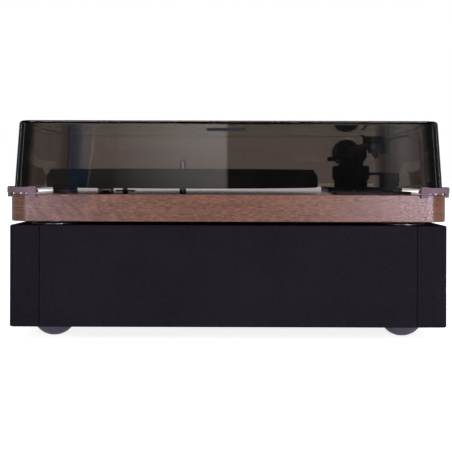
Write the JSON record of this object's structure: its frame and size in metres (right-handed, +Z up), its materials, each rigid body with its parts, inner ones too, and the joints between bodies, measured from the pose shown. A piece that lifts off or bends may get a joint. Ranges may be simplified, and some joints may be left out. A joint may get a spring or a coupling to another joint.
{
  "type": "turntable",
  "caption": "Record player with a smoked hinged cover, a belt driven platter and tonearm on a walnut plinth over a cloth covered speaker cabinet.",
  "frame": {"origin": "on the floor, under the middle of the object's bounding box", "axes": "+Z up, front faces -Y, +X to the right seen from the front"},
  "size_m": [0.4284, 0.3534, 0.2106],
  "materials": {
    "cabinet_cloth": "black speaker cloth glued over board, fine weave",
    "grille_cloth": "black acoustic cloth, fine weave, tightly stretched",
    "black_board": "board painted matt black",
    "board": "bare fibreboard",
    "black_steel": "steel, satin black paint",
    "paper_cone": "pressed paper, matt black",
    "black_plastic": "moulded, matt black",
    "knob_plastic": "turned plastic, satin black",
    "plate_metal": "brushed plate",
    "brass": "plated, bright",
    "circuit_board": "green lacquered board",
    "core_steel": "pressed steel, dull",
    "slate_foot": "moulded dome, slate grey, semi gloss",
    "chrome": "pressed dish, bright plated",
    "rubber": "soft black rubber",
    "screw_steel": "bright steel",
    "walnut": "walnut, straight grain with pores, satin lacquer",
    "gloss_black": "polished black",
    "arm_black": "satin black coating",
    "platter_black": "turned, satin black",
    "mat_rubber": "ribbed rubber",
    "spindle_steel": "polished steel",
    "tube_metal": "aluminium, black anodised",
    "weight_steel": "steel, black finish",
    "cartridge_plastic": "moulded, slate",
    "stylus_plastic": "moulded, dark brown",
    "smoked_cover": "clear acrylic, smoked grey brown, polished",
    "mauve_clip": "moulded, mauve, matt"
  },
  "bodies": {
    "deck": {"cabinet_box": "cabinet_cloth", "grille_cloth": "grille_cloth", "grille_frame": "black_board", "baffle": "board", "back_panel": "black_board", "speaker_drivers": "black_steel", "woofer_cones": "paper_cone", "jack_plate": "plate_metal", "phono_jacks": "brass", "mains_inlet": "black_plastic", "circuit_boards": "circuit_board", "transformer": "core_steel", "foot_front_left": "slate_foot", "foot_front_right": "slate_foot", "foot_rear_left": "slate_foot", "foot_rear_right": "slate_foot", "isolation_cups": "chrome", "isolation_feet": "rubber", "signal_conduit": "rubber", "screws": "screw_steel", "plinth": "walnut", "plinth_base": "black_board", "bearing_sleeve": "brass", "motor": "core_steel", "motor_ring": "black_plastic", "control_strip": "gloss_black", "arm_plate": "gloss_black", "arm_pillar": "arm_black", "arm_collar": "arm_black", "arm_rest": "arm_black", "cue_block": "arm_black", "drive_belt": "rubber", "hinge_bases": "screw_steel", "hinge_pins": "screw_steel"},
    "lid": {"dust_cover": "smoked_cover", "left_corner_clip": "mauve_clip", "right_corner_clip": "mauve_clip", "hinge_arms": "screw_steel"},
    "platter": {"platter": "platter_black", "platter_mat": "mat_rubber", "spindle": "spindle_steel"},
    "pulley": {"motor_pulley": "black_plastic"},
    "speed": {"speed_knob": "knob_plastic"},
    "start": {"start_button": "knob_plastic"},
    "stop": {"stop_button": "knob_plastic"},
    "arm_swing": {"swing_yoke": "arm_black"},
    "bias": {"bias_knob": "arm_black"},
    "arm": {"arm_tube": "tube_metal", "tilt_pins": "screw_steel", "headshell": "arm_black", "finger_lift": "tube_metal", "cartridge": "cartridge_plastic", "stylus": "stylus_plastic"},
    "weight": {"counterweight": "weight_steel"},
    "dial": {"weight_dial": "arm_black"},
    "clip": {"arm_clip": "arm_black"},
    "cue": {"cue_lever": "rubber"},
    "lifter": {"lift_bar": "arm_black"},
    "volume": {"volume_knob": "knob_plastic"},
    "rocker": {"power_rocker": "black_plastic"}
  },
  "joints": [
    {"name": "lid_hinge", "type": "hinge", "parent": "deck", "child": "lid", "pos_m": [0, 0.1737, 0.1428], "axis": [-1, 0, 0], "range_deg": [0, 60]},
    {"name": "platter_spin", "type": "hinge", "parent": "deck", "child": "platter", "pos_m": [-0.051, 0, 0.1448], "axis": [0, 0, -1], "continuous": true},
    {"name": "pulley_spin", "type": "hinge", "parent": "deck", "child": "pulley", "pos_m": [-0.121, 0.06, 0.1463], "axis": [0, 0, -1], "continuous": true},
    {"name": "speed_turn", "type": "hinge", "parent": "deck", "child": "speed", "pos_m": [-0.163, -0.122, 0.1395], "axis": [0, 0, -1], "range_deg": [0, 90]},
    {"name": "start_press", "type": "slide", "parent": "deck", "child": "start", "axis": [0, 0, -1], "range_m": [0, 0.001], "stiffness_N_per_m": 600, "springref_m": -0.0005},
    {"name": "stop_press", "type": "slide", "parent": "deck", "child": "stop", "axis": [0, 0, -1], "range_m": [0, 0.001], "stiffness_N_per_m": 600, "springref_m": -0.0005},
    {"name": "arm_swing", "type": "hinge", "parent": "deck", "child": "arm_swing", "pos_m": [0.147, 0.092, 0.1871], "axis": [0, 0, -1], "range_deg": [0, 51]},
    {"name": "arm_lift", "type": "hinge", "parent": "arm_swing", "child": "arm", "pos_m": [0.147, 0.092, 0.1871], "axis": [-0.9998, -0.0223, 0], "range_deg": [-2.2, 1.9]},
    {"name": "bias_turn", "type": "hinge", "parent": "arm_swing", "child": "bias", "pos_m": [0.147, 0.092, 0.178], "axis": [-0.9998, -0.0223, 0], "range_deg": [-170, 170]},
    {"name": "weight_turn", "type": "hinge", "parent": "arm", "child": "weight", "pos_m": [0.146, 0.13698, 0.18604], "axis": [0.0223, -0.9995, 0.0236], "continuous": true},
    {"name": "dial_turn", "type": "hinge", "parent": "arm", "child": "dial", "pos_m": [0.14624, 0.12598, 0.1863], "axis": [0.0223, -0.9995, 0.0236], "continuous": true},
    {"name": "clip_shut", "type": "hinge", "parent": "deck", "child": "clip", "pos_m": [0.1562, 0.038, 0.19077], "axis": [0, -1, 0], "range_deg": [0, 75]},
    {"name": "cue_down", "type": "hinge", "parent": "deck", "child": "cue", "pos_m": [0.1889, 0.035, 0.1535], "axis": [1, 0, 0], "range_deg": [0, 20]},
    {"name": "lifter_slide", "type": "slide", "parent": "deck", "child": "lifter", "axis": [0, 0, -1], "range_m": [0, 0.003]},
    {"name": "volume_turn", "type": "hinge", "parent": "deck", "child": "volume", "pos_m": [0.00487, 0.1665, 0.06115], "axis": [0, 1, 0], "range_deg": [0, 300]},
    {"name": "power_tip", "type": "hinge", "parent": "deck", "child": "rocker", "pos_m": [0.02943, 0.168, 0.06115], "axis": [-1, 0, 0], "range_deg": [0, 20]}
  ],
  "couplings": [
    {"joint": "pulley_spin", "follows": "platter_spin", "ratio": 11.667},
    {"joint": "lifter_slide", "follows": "cue_down", "m_per_rad": 0.0085944}
  ]
}
